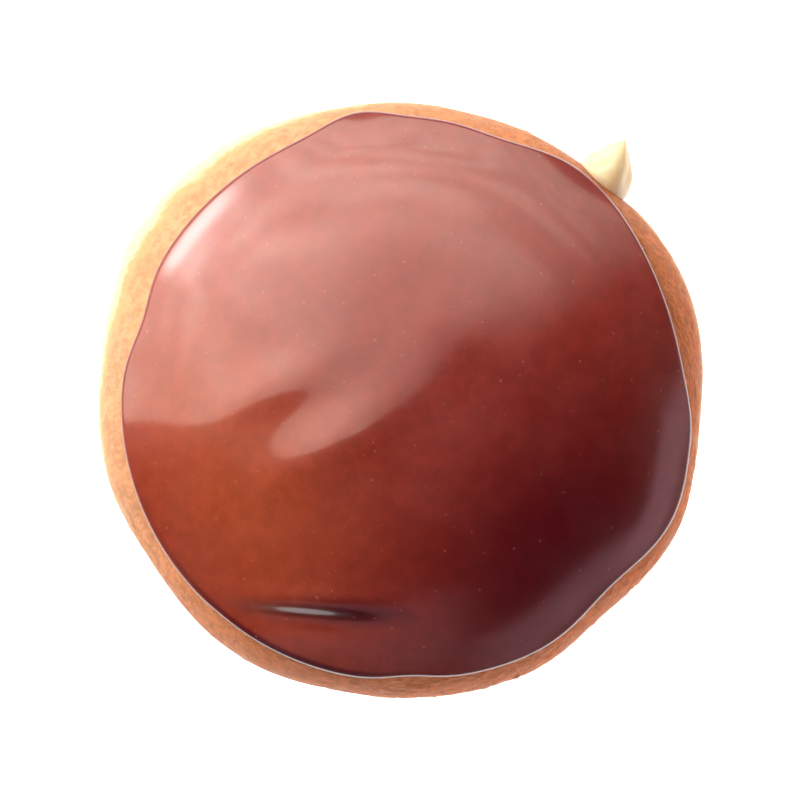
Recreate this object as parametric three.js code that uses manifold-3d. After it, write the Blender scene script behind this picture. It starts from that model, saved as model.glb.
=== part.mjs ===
// A round filled doughnut in three pieces: a fried yeast bun, chocolate icing poured over its crown,
// and custard injected through a hole in the bun's side, where a pulled peak of it shows.
// Millimetres, +Z up. The origin is on the resting plane, under the middle of the bun.
import * as THREE from "three";
import { mergeVertices } from "three/addons/utils/BufferGeometryUtils.js";
import Module from "manifold-3d";

const wasm = await Module();
wasm.setup();

// The bun: a crown above the waist and a flatter-ended belly below it, each a superellipse in section.
const BUN_RADIUS = 42.8;
const WAIST_HEIGHT = 18;
const CROWN_RISE = 22;
const CROWN_POWER = 2.05;
const BELLY_DROP = 19.2; // cut off at the resting plane, which leaves the flat base
const BELLY_POWER = 2.2;
// The crown stands a little higher on one side, because the bun rose unevenly.
const SLANT = 0.045;
const SLANT_AT = 250;
// Where the bun bulges (out > 0) or is pressed in, in degrees from +X towards +Y.
const BUN_SWELLS = [
  { at: 21, out: 1.6, spread: 14 },
  { at: 79, out: -0.2, spread: 6 },
  { at: 139, out: 2.3, spread: 21 },
  { at: 150, out: 0.5, spread: 4 },
  { at: 192, out: 1.0, spread: 11 },
  { at: 238, out: 0.9, spread: 10 },
  { at: 312, out: 0.7, spread: 23 },
  { at: 313, out: -1.0, spread: 7 },
  { at: 336, out: 0.8, spread: 8 },
];

// The icing: a poured coat whose rounded edge stops short of the bun's outline, seen from above.
const ICING_RADIUS = 40.1;
const ICING_THICKNESS = 1.8;
const ICING_EDGE_THICKNESS = 1.3;
const ICING_OVERHANG = 0.6; // how far the rounded edge stands out past where it meets the dough
const ICING_SWELLS = [
  { at: -4, out: 0.4, spread: 5 },
  { at: 57, out: 1.7, spread: 18 },
  { at: 68, out: -1.4, spread: 8 },
  { at: 99, out: 1.5, spread: 6 },
  { at: 135, out: -0.6, spread: 26 },
  { at: 163, out: -1.1, spread: 6 },
  { at: 272, out: -0.7, spread: 5 },
  { at: 319, out: -2.9, spread: 10 },
  { at: 327, out: 3.2, spread: 19 },
];

// The custard: a flattened pocket in the middle of the bun, a neck where the nozzle went in, and a
// peak outside the hole. Distances run from the bun's middle along the neck, which points to FILLING_AT.
const FILLING_AT = 47;
const POCKET_RADIUS = 21;
const POCKET_FLATNESS = 0.45;
const NECK_RADIUS = 3.6;
const MOUTH = 41;
const PEAK_TIP = 49.4;
const PEAK_RADIUS = 4.4;
const PEAK_SIDEWAYS = 2.1;
const PEAK_LIFT = 1.4;

const GAP = 0.3; // between touching pieces
const AROUND_BUN = 60;
const AROUND_FILLING = 24;
const POINTS_ALIKE = 1e-3; // points nearer than this are one point

const MATERIALS = {
  dough: new THREE.MeshStandardMaterial({ color: 0xd08a4a, roughness: 0.6, metalness: 0 }),
  icing: new THREE.MeshStandardMaterial({ color: 0x6b2015, roughness: 0.2, metalness: 0 }),
  custard: new THREE.MeshStandardMaterial({ color: 0xf6dd9a, roughness: 0.35, metalness: 0 }),
};

// The radius at an angle of a round outline with bell-shaped swells and dents in it.
function outline(mean, swells, angle) {
  const degrees = THREE.MathUtils.radToDeg(angle);
  return swells.reduce((radius, { at, out, spread }) => {
    const away = THREE.MathUtils.euclideanModulo(degrees - at + 180, 360) - 180;
    return radius + out * Math.exp(-0.5 * (away / spread) ** 2);
  }, mean);
}

// A point of the round bun's section, x out and y up from the waist, and the section's normal there.
function section(latitude, rise, power) {
  const out = Math.cos(latitude) ** (2 / power);
  const up = Math.sin(latitude) ** (2 / power);
  const point = new THREE.Vector2(BUN_RADIUS * out, rise * up);
  const normal = new THREE.Vector2(out ** (power - 1) / BUN_RADIUS, up ** (power - 1) / rise);
  return { point, normal: normal.normalize() };
}

// Carries a point from the round bun, x out and y up from the waist, to the real uneven one.
function uneven(round, angle) {
  const radius = (round.x * outline(BUN_RADIUS, BUN_SWELLS, angle)) / BUN_RADIUS;
  const slope = Math.cos(angle - THREE.MathUtils.degToRad(SLANT_AT));
  const stretch = round.y > 0 ? 1 + (SLANT * slope * round.x) / BUN_RADIUS : 1;
  const height = WAIST_HEIGHT + round.y * stretch;
  return new THREE.Vector3(radius * Math.cos(angle), radius * Math.sin(angle), height);
}

// Turns a profile about +Z and then moves each vertex to place(its profile point, its angle).
function turned(profile, segments, place) {
  const geometry = new THREE.LatheGeometry(profile, segments).rotateX(Math.PI / 2);
  geometry.deleteAttribute("normal");
  geometry.deleteAttribute("uv");
  const position = geometry.attributes.position;
  for (let i = 0; i < position.count; i++) {
    const [x, y] = [position.getX(i), position.getY(i)];
    const onProfile = new THREE.Vector2(Math.hypot(x, y), position.getZ(i));
    const placed = place(onProfile, Math.atan2(y, x));
    position.setXYZ(i, placed.x, placed.y, placed.z);
  }
  return mergeVertices(geometry, POINTS_ALIKE);
}

function solidOf(geometry) {
  return new wasm.Manifold(
    new wasm.Mesh({
      numProp: 3,
      vertProperties: geometry.attributes.position.array,
      triVerts: new Uint32Array(geometry.index.array),
    }),
  );
}

function geometryOf(solid) {
  const { vertProperties, triVerts } = solid.getMesh();
  return new THREE.BufferGeometry()
    .setAttribute("position", new THREE.BufferAttribute(vertProperties, 3))
    .setIndex(new THREE.BufferAttribute(triVerts, 1));
}

// The same closed surface, moved outwards everywhere.
function inflated(geometry, by) {
  const grown = geometry.clone();
  grown.computeVertexNormals();
  const { position, normal } = grown.attributes;
  for (let i = 0; i < position.count; i++) {
    const moved = new THREE.Vector3().fromBufferAttribute(position, i);
    moved.addScaledVector(new THREE.Vector3().fromBufferAttribute(normal, i), by);
    position.setXYZ(i, moved.x, moved.y, moved.z);
  }
  grown.deleteAttribute("normal");
  return grown;
}

// The bun before it is filled, from its flat base up to the top of its crown.
function wholeBun() {
  const steps = 14;
  const flatEdge = Math.asin((WAIST_HEIGHT / BELLY_DROP) ** (BELLY_POWER / 2));
  const profile = [new THREE.Vector2(0, -WAIST_HEIGHT)];
  for (let i = 0; i < steps; i++) {
    const { point } = section(flatEdge * (1 - i / steps), BELLY_DROP, BELLY_POWER);
    profile.push(new THREE.Vector2(point.x, -point.y));
  }
  for (let i = 0; i < steps; i++) {
    profile.push(section(((Math.PI / 2) * i) / steps, CROWN_RISE, CROWN_POWER).point);
  }
  profile.push(new THREE.Vector2(0, CROWN_RISE));
  return turned(profile, AROUND_BUN, uneven);
}

// The icing's profile is drawn flat, x from 0 at the crown's top to 1 at the icing's edge and y off
// the dough, and then laid over the crown.
function icing() {
  const edgeRound = 0.04; // the share of the profile that the rounded edge takes
  const [outerSteps, edgeSteps, innerSteps] = [12, 4, 9];
  const profile = [];
  for (let i = 0; i <= innerSteps; i++) {
    profile.push(new THREE.Vector2(i / innerSteps, GAP));
  }
  for (let i = 1; i < edgeSteps; i++) {
    const turn = (Math.PI / 2) * (i / edgeSteps);
    const x = 1 - edgeRound * (1 - Math.cos(turn));
    profile.push(new THREE.Vector2(x, GAP + ICING_EDGE_THICKNESS * Math.sin(turn)));
  }
  for (let i = 0; i <= outerSteps; i++) {
    const x = (1 - edgeRound) * (1 - i / outerSteps);
    const thickness = THREE.MathUtils.lerp(ICING_THICKNESS, ICING_EDGE_THICKNESS, x ** 4);
    profile.push(new THREE.Vector2(x, GAP + thickness));
  }
  return turned(profile, AROUND_BUN, (drawn, angle) => {
    const share = outline(ICING_RADIUS, ICING_SWELLS, angle) / outline(BUN_RADIUS, BUN_SWELLS, angle);
    const contact = share * (1 - ICING_OVERHANG / BUN_RADIUS);
    const edgeLatitude = Math.acos(contact ** (CROWN_POWER / 2));
    const latitude = THREE.MathUtils.lerp(Math.PI / 2, edgeLatitude, drawn.x);
    const { point, normal } = section(latitude, CROWN_RISE, CROWN_POWER);
    return uneven(point.addScaledVector(normal, drawn.y), angle);
  });
}

// The custard, turned about its own neck: x off the neck's axis and y along it.
function custard() {
  const [pocketSteps, peakSteps] = [12, 9];
  const pocketEnd = Math.PI - Math.asin(NECK_RADIUS / POCKET_RADIUS);
  const profile = [];
  for (let i = 0; i <= pocketSteps; i++) {
    const turn = pocketEnd * (i / pocketSteps);
    profile.push(new THREE.Vector2(POCKET_RADIUS * Math.sin(turn), -POCKET_RADIUS * Math.cos(turn)));
  }
  const peak = new THREE.SplineCurve([
    new THREE.Vector2(NECK_RADIUS, MOUTH),
    new THREE.Vector2(PEAK_RADIUS, MOUTH + 0.35 * (PEAK_TIP - MOUTH)),
    new THREE.Vector2(0.6 * PEAK_RADIUS, MOUTH + 0.75 * (PEAK_TIP - MOUTH)),
    new THREE.Vector2(0, PEAK_TIP),
  ]);
  profile.push(...peak.getPoints(peakSteps));
  const along = new THREE.Vector3(1, 0, 0).applyAxisAngle(
    new THREE.Vector3(0, 0, 1),
    THREE.MathUtils.degToRad(FILLING_AT),
  );
  const across = new THREE.Vector3(-along.y, along.x, 0);
  return turned(profile, AROUND_FILLING, (drawn, angle) => {
    const pulled = Math.max(0, (drawn.y - MOUTH) / (PEAK_TIP - MOUTH));
    const roundness = THREE.MathUtils.smoothstep(drawn.y, 0.8 * POCKET_RADIUS, 1.2 * POCKET_RADIUS);
    const flatness = THREE.MathUtils.lerp(POCKET_FLATNESS, 1, roundness);
    const height = WAIST_HEIGHT + drawn.x * Math.sin(angle) * flatness + PEAK_LIFT * pulled ** 2;
    return new THREE.Vector3(0, 0, height)
      .addScaledVector(along, drawn.y)
      .addScaledVector(across, PEAK_SIDEWAYS * pulled ** 2 + drawn.x * Math.cos(angle));
  });
}

function piece(name, geometry, material) {
  const mesh = new THREE.Mesh(geometry, material);
  mesh.name = name;
  return mesh;
}

const filling = custard();
const bun = solidOf(wholeBun()).subtract(solidOf(inflated(filling, GAP)));

const doughnut = new THREE.Group();
doughnut.name = "filled_doughnut";
doughnut.add(
  piece("fried_dough", geometryOf(bun), MATERIALS.dough),
  piece("chocolate_icing", icing(), MATERIALS.icing),
  piece("custard_filling", filling, MATERIALS.custard),
);

export default doughnut;
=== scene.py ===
"""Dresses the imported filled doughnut: fried dough, poured chocolate icing and custard filling.

The doughnut's lengths are in millimetres until its meshes are made, and the studio's are in metres,
Blender's own unit. Angles are in degrees from +X towards +Y, except where radians are named, and heights
are above the surface that the doughnut rests on.
"""

from __future__ import annotations

import logging
import math
from dataclasses import dataclass, field
from enum import Enum
from typing import Any, Sequence

import bpy
import numpy as np
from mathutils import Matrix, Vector

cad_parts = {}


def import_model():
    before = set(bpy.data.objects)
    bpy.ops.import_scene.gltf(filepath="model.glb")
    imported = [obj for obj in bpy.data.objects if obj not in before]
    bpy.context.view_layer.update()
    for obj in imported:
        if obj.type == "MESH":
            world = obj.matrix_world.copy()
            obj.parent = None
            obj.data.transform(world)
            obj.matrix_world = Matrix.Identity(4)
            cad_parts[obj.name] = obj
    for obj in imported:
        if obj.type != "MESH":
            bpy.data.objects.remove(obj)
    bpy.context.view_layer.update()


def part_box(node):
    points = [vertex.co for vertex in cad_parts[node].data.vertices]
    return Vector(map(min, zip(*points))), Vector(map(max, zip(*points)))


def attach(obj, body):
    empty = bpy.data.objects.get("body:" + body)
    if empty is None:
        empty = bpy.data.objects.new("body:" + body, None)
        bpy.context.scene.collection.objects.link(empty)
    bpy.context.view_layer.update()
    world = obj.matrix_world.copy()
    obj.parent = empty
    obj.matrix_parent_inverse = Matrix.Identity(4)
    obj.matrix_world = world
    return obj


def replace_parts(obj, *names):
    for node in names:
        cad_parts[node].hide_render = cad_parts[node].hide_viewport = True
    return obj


LOG = logging.getLogger("doughnut")
MM = 0.001
BODY = "root"
FULL_TURN = 2 * math.pi
UP = np.array([0.0, 0.0, 1.0])
FAR = 99.0
Array = np.ndarray
Colour = tuple[float, float, float]
Node = bpy.types.Node
Object = bpy.types.Object
Socket = bpy.types.NodeSocket
Tree = bpy.types.NodeTree


# The form that the dough and the icing share


def bell(distance: Array, spread: float) -> Array:
    """Returns a bell curve that is 1 at distance 0 and falls off over spread."""
    return np.exp(-0.5 * (distance / spread) ** 2)


def smooth_step(value: Array, low: float, high: float) -> Array:
    """Returns 0 below low, 1 above high and a smooth rise between."""
    share = np.clip((value - low) / (high - low), 0.0, 1.0)
    return share * share * (3.0 - 2.0 * share)


def smooth_fall(value: Array, low: float, high: float) -> Array:
    """Returns 1 below low, 0 above high and a smooth fall between."""
    return smooth_step(-value, -high, -low)


def turn_between(angle: Array, at: float) -> Array:
    """Returns the signed degrees from at to angle, which is in radians."""
    return (np.degrees(angle) - at + 180.0) % 360.0 - 180.0


def all_round(count: int) -> Array:
    """Returns evenly spaced angles of a full turn in radians, as one row."""
    return np.linspace(0.0, FULL_TURN, count, endpoint=False)[None, :]


def direction(at: float, elevation: float = 0.0) -> Array:
    """Returns the unit vector towards an angle and an elevation above the level."""
    turn, rise = math.radians(at), math.radians(elevation)
    return np.array([math.cos(turn) * math.cos(rise), math.sin(turn) * math.cos(rise), math.sin(rise)])


@dataclass(frozen=True)
class Lobe:
    """A swell (out above 0) or a dent (out below 0) of a round outline."""

    at: float
    out: float
    spread: float


@dataclass(frozen=True)
class Outline:
    """A round outline with swells and dents in it, or any other number that changes round the bun."""

    mean: float
    lobes: tuple[Lobe, ...]

    def radius(self, angle: Array) -> Array:
        """Works out the outline's radius at each angle.

        Args:
            angle: Angles in radians.

        Returns:
            Radii, in the unit of the outline's mean.
        """
        radius = np.full_like(angle, self.mean)
        for lobe in self.lobes:
            radius += lobe.out * bell(turn_between(angle, lobe.at), lobe.spread)
        return radius


BUN_LOBES = (
    Lobe(21, 1.6, 14), Lobe(79, -0.2, 6), Lobe(139, 2.3, 21), Lobe(150, 0.5, 4), Lobe(192, 1.0, 11),
    Lobe(238, 0.9, 10), Lobe(312, 0.7, 23), Lobe(313, -1.0, 7), Lobe(336, 0.8, 8),
)
ICING_LOBES = (
    Lobe(-4, 0.4, 5), Lobe(57, 1.7, 18), Lobe(68, -1.4, 8), Lobe(99, 1.5, 6), Lobe(135, -0.6, 26),
    Lobe(163, -1.1, 6), Lobe(272, -0.7, 5), Lobe(319, -2.9, 10), Lobe(327, 3.2, 19),
)


@dataclass(frozen=True)
class BunForm:
    """The bun's form: a crown above the waist and a flatter belly below it, unevenly risen."""

    waist: float
    crown_rise: float
    outline: Outline = Outline(42.8, BUN_LOBES)
    crown_power: float = 2.05
    belly_drop: float = 19.2
    belly_power: float = 2.2
    slant: float = 0.045
    slant_at: float = 250.0

    @classmethod
    def from_frame(cls) -> BunForm:
        """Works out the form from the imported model.

        Returns:
            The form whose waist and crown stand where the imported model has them.
        """
        custard_low, custard_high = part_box("custard_filling")
        waist = (custard_low.z + custard_high.z) / 2 / MM
        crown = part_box("fried_dough")[1].z / MM
        return cls(waist=waist, crown_rise=crown - waist)

    @property
    def radius(self) -> float:
        """Returns the bun's mean radius at its waist."""
        return self.outline.mean

    def above_waist(self, points: Array) -> Array:
        """Returns each point's height from the waist."""
        return points[..., 2] - self.waist

    def crown(self, latitude: Array) -> tuple[Array, Array, Array, Array]:
        """Works out the crown's section.

        Args:
            latitude: 0 at the waist and a quarter turn at the crown's top, in radians.

        Returns:
            Points (x out, y up from the waist) and the normal's two parts there.
        """
        out = np.cos(latitude) ** (2 / self.crown_power)
        up = np.sin(latitude) ** (2 / self.crown_power)
        normal_x = out ** (self.crown_power - 1) / self.radius
        normal_y = up ** (self.crown_power - 1) / self.crown_rise
        length = np.hypot(normal_x, normal_y)
        return self.radius * out, self.crown_rise * up, normal_x / length, normal_y / length

    def belly(self, latitude: Array) -> tuple[Array, Array]:
        """Works out the belly's section.

        Args:
            latitude: 0 at the waist, growing downwards, in radians.

        Returns:
            Points: x out, y up from the waist (so 0 or less).
        """
        out = np.cos(latitude) ** (2 / self.belly_power)
        down = np.sin(latitude) ** (2 / self.belly_power)
        return self.radius * out, -self.belly_drop * down

    def uneven(self, x: Array, y: Array, angle: Array) -> Array:
        """Carries points of the round bun's section to the real uneven bun.

        Args:
            x: Distances out from the axis.
            y: Heights from the waist.
            angle: Angles in radians.

        Returns:
            Points in millimetres, with a last axis of three.
        """
        radius = x * self.outline.radius(angle) / self.radius
        slope = np.cos(angle - math.radians(self.slant_at))
        stretch = np.where(y > 0, 1 + self.slant * slope * x / self.radius, 1.0)
        height = self.waist + y * stretch
        return np.stack([radius * np.cos(angle), radius * np.sin(angle), height], axis=-1)


def resampled(x: Array, y: Array, spacing: Array) -> tuple[Array, Array]:
    """Walks along a line in steps of a changing length.

    Args:
        x: The line's points.
        y: The line's points.
        spacing: The wanted step at each of those points.

    Returns:
        The points reached, with both ends kept.
    """
    steps = np.hypot(np.diff(x), np.diff(y)) / ((spacing[1:] + spacing[:-1]) / 2)
    along = np.concatenate([[0.0], np.cumsum(steps)])
    wanted = np.linspace(0.0, along[-1], int(round(along[-1])) + 1)
    return np.interp(wanted, along, x), np.interp(wanted, along, y)


def smooth_through(values: Array, at: Array) -> Array:
    """Runs a smooth line through evenly numbered values.

    Args:
        values: The values at 0, 1, 2 and so on.
        at: Where the line is wanted, in the same numbering.

    Returns:
        The line's values there.
    """
    slopes = np.gradient(values)
    start = np.clip(np.floor(at).astype(int), 0, len(values) - 2)
    share = at - start
    first, second = values[start], values[start + 1]
    out, back = slopes[start], slopes[start + 1]
    return (
        first * (1 + 2 * share) * (1 - share) ** 2
        + out * share * (1 - share) ** 2
        + second * share**2 * (3 - 2 * share)
        + back * share**2 * (share - 1)
    )


# Meshes and node trees


def linked(name: str, data: Any) -> Object:
    """Makes an object and links it to the scene.

    Args:
        name: The object's name.
        data: Its mesh, light or camera.

    Returns:
        The object.
    """
    made = bpy.data.objects.new(name, data)
    bpy.context.scene.collection.objects.link(made)
    return made


def plain_mesh(name: str, points: Sequence, faces: Sequence) -> Object:
    """Makes an object from points and faces.

    Args:
        name: The object's name.
        points: Its points in metres.
        faces: The points' numbers round each face.

    Returns:
        The object, linked to the scene.
    """
    mesh = bpy.data.meshes.new(name)
    mesh.from_pydata(points, [], faces)
    return linked(name, mesh)


def turned_mesh(name: str, rings: Array, bottom: Array, top: Array) -> Object:
    """Makes a smooth closed mesh from rings of points and a point at each end.

    Args:
        name: The object's name.
        rings: Points in millimetres, rings by points round each ring by three, counter-clockwise as
            seen from the top end.
        bottom: The point that closes the first ring.
        top: The point that closes the last ring.

    Returns:
        The object, in metres.
    """
    count, around = rings.shape[:2]
    points = np.concatenate([rings.reshape(-1, 3), [bottom], [top]]) * MM
    here = np.arange(count - 1)[:, None] * around + np.arange(around)
    beside = np.arange(count - 1)[:, None] * around + (np.arange(around) + 1) % around
    quads = np.stack([here, beside, beside + around, here + around], axis=-1).reshape(-1, 4)
    first, last = np.arange(around), (count - 1) * around + np.arange(around)
    below = np.stack([np.roll(first, -1), first, np.full(around, count * around)], axis=-1)
    above = np.stack([last, np.roll(last, -1), np.full(around, count * around + 1)], axis=-1)
    made = plain_mesh(name, points.tolist(), quads.tolist() + below.tolist() + above.tolist())
    made.data.polygons.foreach_set("use_smooth", np.ones(len(made.data.polygons), bool))
    made.data.update()
    return made


def points_of(mesh: bpy.types.Mesh) -> Array:
    """Works out where a mesh's points are.

    Args:
        mesh: The mesh.

    Returns:
        Its points in millimetres.
    """
    points = np.empty(len(mesh.vertices) * 3, np.float32)
    mesh.vertices.foreach_get("co", points)
    return points.reshape(-1, 3).astype(float) / MM


def mark(mesh: bpy.types.Mesh, name: str, values: Array) -> None:
    """Gives each point of a mesh a number that materials and node trees can read.

    Args:
        mesh: The mesh.
        name: The attribute's name.
        values: One number for each point.
    """
    attribute = mesh.attributes.get(name) or mesh.attributes.new(name, "FLOAT", "POINT")
    attribute.data.foreach_set("value", values.astype(np.float32))


def baked(source: Object) -> None:
    """Turns an object's modifiers into plain mesh.

    Args:
        source: An object with modifiers on it. It gets the result as its mesh, and keeps no modifiers.
    """
    graph = bpy.context.evaluated_depsgraph_get()
    result = bpy.data.meshes.new_from_object(source.evaluated_get(graph), depsgraph=graph)
    source.modifiers.clear()
    old = source.data
    result.name = source.name
    source.data = result
    bpy.data.meshes.remove(old)


class Network:
    """Writes nodes into a tree."""

    def __init__(self, tree: Tree) -> None:
        """Keeps the tree to write into."""
        self.tree = tree

    def add(self, kind: str, inputs: dict[str | int, Any] | None = None, **settings: Any) -> Node:
        """Adds one node.

        Args:
            kind: The node's type.
            inputs: Socket name or index to a value or to the socket that feeds it.
            **settings: The node's own properties.

        Returns:
            The node.
        """
        node = self.tree.nodes.new(kind)
        for name, value in settings.items():
            setattr(node, name, value)
        for key, value in (inputs or {}).items():
            if isinstance(value, Socket):
                self.tree.links.new(value, node.inputs[key])
            else:
                node.inputs[key].default_value = value
        return node

    def math(self, operation: str, *values: Any) -> Socket:
        """Returns the result of a Math node, given numbers or sockets in the node's order."""
        return self.add("ShaderNodeMath", dict(enumerate(values)), operation=operation).outputs[0]

    def times(self, first: Any, second: Any) -> Socket:
        """Returns the product of two numbers or sockets."""
        return self.math("MULTIPLY", first, second)

    def scaled(self, vector: Any, scale: Any) -> Socket:
        """Returns a vector or a colour times a number."""
        return self.add("ShaderNodeVectorMath", {0: vector, "Scale": scale}, operation="SCALE").outputs[0]

    def between(self, value: Any, low: Any, high: Any, start: float = 0.0, end: float = 1.0) -> Socket:
        """Adds a smooth map of a value's range onto another.

        Args:
            value: The value, or its socket.
            low: Where the smooth change starts.
            high: Where it ends.
            start: The result at low.
            end: The result at high.

        Returns:
            The result's socket.
        """
        inputs = {"Value": value, "From Min": low, "From Max": high, "To Min": start, "To Max": end}
        node = self.add("ShaderNodeMapRange", inputs, interpolation_type="SMOOTHSTEP", clamp=True)
        return node.outputs["Result"]

    def mix(self, share: Any, first: Any, second: Any) -> Socket:
        """Adds a colour mix.

        Args:
            share: How much of the second colour, as a number or a socket.
            first: A colour or a socket.
            second: A colour or a socket.

        Returns:
            The mixed colour's socket.
        """
        colours = [(*c, 1.0) if isinstance(c, tuple) else c for c in (first, second)]
        inputs = {0: share, 6: colours[0], 7: colours[1]}
        return self.add("ShaderNodeMix", inputs, data_type="RGBA", clamp_factor=True).outputs[2]

    def marked(self, name: str) -> Socket:
        """Returns the socket that reads one of the mesh's own numbers in a material."""
        return self.add("ShaderNodeAttribute", attribute_name=name).outputs["Fac"]


def emptied(owner: bpy.types.Material | bpy.types.World) -> Network:
    """Empties the node tree of a material or a world.

    Args:
        owner: The material or the world.

    Returns:
        The network that writes into its tree.
    """
    owner.use_nodes = True
    owner.node_tree.nodes.clear()
    return Network(owner.node_tree)


def new_group(
    name: str, kind: str, fed: dict[str, str], numbers: dict[str, float], output: tuple[str, str]
) -> tuple[Network, Any, Socket]:
    """Makes an empty node group with named sockets.

    Args:
        name: The group's name.
        kind: The tree's type.
        fed: Name to socket type, for the inputs that have no number of their own.
        numbers: Name to default, for the inputs that are numbers.
        output: The output's name and its type.

    Returns:
        The network, its inputs by name, and the socket that takes the group's result.
    """
    tree = bpy.data.node_groups.new(name, kind)
    for socket_name, socket_type in fed.items():
        tree.interface.new_socket(socket_name, in_out="INPUT", socket_type=socket_type)
    for socket_name, value in numbers.items():
        socket = tree.interface.new_socket(socket_name, in_out="INPUT", socket_type="NodeSocketFloat")
        socket.default_value = value
    tree.interface.new_socket(output[0], in_out="OUTPUT", socket_type=output[1])
    net = Network(tree)
    return net, net.add("NodeGroupInput").outputs, net.add("NodeGroupOutput").inputs[0]


def add_tree(target: Object, tree: Tree, values: dict[str, Any]) -> None:
    """Puts a Geometry Nodes tree on an object.

    Args:
        target: The object.
        tree: The tree.
        values: Input name to value, for the inputs that don't keep their own.
    """
    modifier = target.modifiers.new(tree.name, "NODES")
    modifier.node_group = tree
    for item in tree.interface.items_tree:
        if item.in_out == "INPUT" and item.name in values:
            modifier[item.identifier] = values[item.name]


# Effects that several finishes share


class SharedEffect(Enum):
    """The shader node groups that more than one finish uses. Their vectors are in millimetres."""

    MOTTLING = "mottling"
    SPECKS = "specks"
    GRAIN = "grain"

    def tree(self) -> Tree:
        """Returns the effect's node group, which is built the first time."""
        builders = {"mottling": build_mottling, "specks": build_specks, "grain": build_grain}
        return bpy.data.node_groups.get(self.value) or builders[self.value]()


def shader_group(
    effect: SharedEffect, numbers: dict[str, float], output: str
) -> tuple[Network, Any, Socket]:
    """Returns new_group's parts for a shader group that takes a vector and puts out one number."""
    fed, result = {"Vector": "NodeSocketVector"}, (output, "NodeSocketFloat")
    return new_group(effect.value, "ShaderNodeTree", fed, numbers, result)


def build_mottling() -> Tree:
    """Builds soft patches: a mask from 0 to 1, whose patches are about Size across.

    Returns:
        The group.
    """
    numbers = {"Size": 8.0, "Contrast": 2.0, "Seed": 0.0}
    net, given, result = shader_group(SharedEffect.MOTTLING, numbers, "Mask")
    scale = net.math("DIVIDE", 1.0, given["Size"])
    inputs = {"Vector": given["Vector"], "W": given["Seed"], "Scale": scale, "Detail": 4.0}
    noise = net.add("ShaderNodeTexNoise", inputs, noise_dimensions="4D")
    centred = net.math("SUBTRACT", noise.outputs[0], 0.5)
    spread = net.math("MULTIPLY_ADD", centred, given["Contrast"], 0.5)
    net.tree.links.new(net.between(spread, 0.0, 1.0), result)
    return net.tree


def build_specks() -> Tree:
    """Builds scattered soft dots: a mask that is 1 in the middle of a dot.

    Returns:
        The group.
    """
    numbers = {"Spacing": 2.0, "Radius": 0.2, "Share": 0.3}
    net, given, result = shader_group(SharedEffect.SPECKS, numbers, "Mask")
    scale = net.math("DIVIDE", 1.0, given["Spacing"])
    cells = net.add("ShaderNodeTexVoronoi", {"Vector": given["Vector"], "Scale": scale})
    picks = net.add("ShaderNodeSeparateColor", {"Color": cells.outputs["Color"]})
    away = net.times(cells.outputs["Distance"], given["Spacing"])
    # A dot's radius is from a half to one and a half times the one that is given.
    reach = net.times(given["Radius"], net.math("ADD", picks.outputs["Green"], 0.5))
    dot = net.between(net.math("DIVIDE", away, reach), 1.0, 0.4)
    chosen = net.math("LESS_THAN", picks.outputs["Red"], given["Share"])
    net.tree.links.new(net.times(dot, chosen), result)
    return net.tree


def build_grain() -> Tree:
    """Builds fine unevenness as a height, with a wrinkled share and a pitted share.

    Returns:
        The group.
    """
    net, given, result = shader_group(SharedEffect.GRAIN, {"Size": 0.6, "Pitting": 0.4}, "Height")
    place = {"Vector": given["Vector"], "Scale": net.math("DIVIDE", 1.0, given["Size"])}
    noise = net.add("ShaderNodeTexNoise", {**place, "Detail": 3.0, "Distortion": 0.6})
    cells = net.add("ShaderNodeTexVoronoi", {**place, "Smoothness": 0.6}, feature="SMOOTH_F1")
    pits = net.times(cells.outputs["Distance"], given["Pitting"])
    net.tree.links.new(net.math("ADD", noise.outputs[0], pits), result)
    return net.tree


# Finishes


@dataclass(frozen=True)
class Patches:
    """Soft patches: their size, how hard their edges are, and the seed of their places."""

    size: float
    contrast: float
    seed: float


@dataclass(frozen=True)
class Specks:
    """Soft dots: their spacing and radius, the share of places that have one, and their strength."""

    spacing: float
    radius: float
    share: float
    strength: float


@dataclass(frozen=True)
class Grain:
    """Fine unevenness: its size, how pitted it is, and how far it stands proud."""

    size: float
    pitting: float
    height: float


class Surface(Network):
    """Writes a finish's nodes, with patterns in millimetres from the place on the piece."""

    def __init__(self, tree: Tree) -> None:
        """Finds the place on the piece, in millimetres."""
        super().__init__(tree)
        place = self.add("ShaderNodeTexCoord").outputs["Object"]
        self.place = self.add("ShaderNodeMapping", {"Vector": place, "Scale": (1 / MM,) * 3}).outputs[0]

    def effect(self, shared: SharedEffect, **inputs: float) -> Socket:
        """Returns the output of a shared effect that is given these inputs."""
        fed = {"Vector": self.place, **inputs}
        return self.add("ShaderNodeGroup", fed, node_tree=shared.tree()).outputs[0]

    def patches(self, kind: Patches) -> Socket:
        """Returns the mask of soft patches."""
        return self.effect(SharedEffect.MOTTLING, Size=kind.size, Contrast=kind.contrast, Seed=kind.seed)

    def specks(self, kind: Specks) -> Socket:
        """Returns the mask of scattered dots, at their strength."""
        mask = self.effect(SharedEffect.SPECKS, Spacing=kind.spacing, Radius=kind.radius, Share=kind.share)
        return self.times(mask, kind.strength)

    def relief(self, kind: Grain) -> Socket:
        """Returns the normal of a finely uneven surface."""
        height = self.effect(SharedEffect.GRAIN, Size=kind.size, Pitting=kind.pitting)
        return self.add("ShaderNodeBump", {"Height": height, "Distance": kind.height * MM}).outputs[0]


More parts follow.
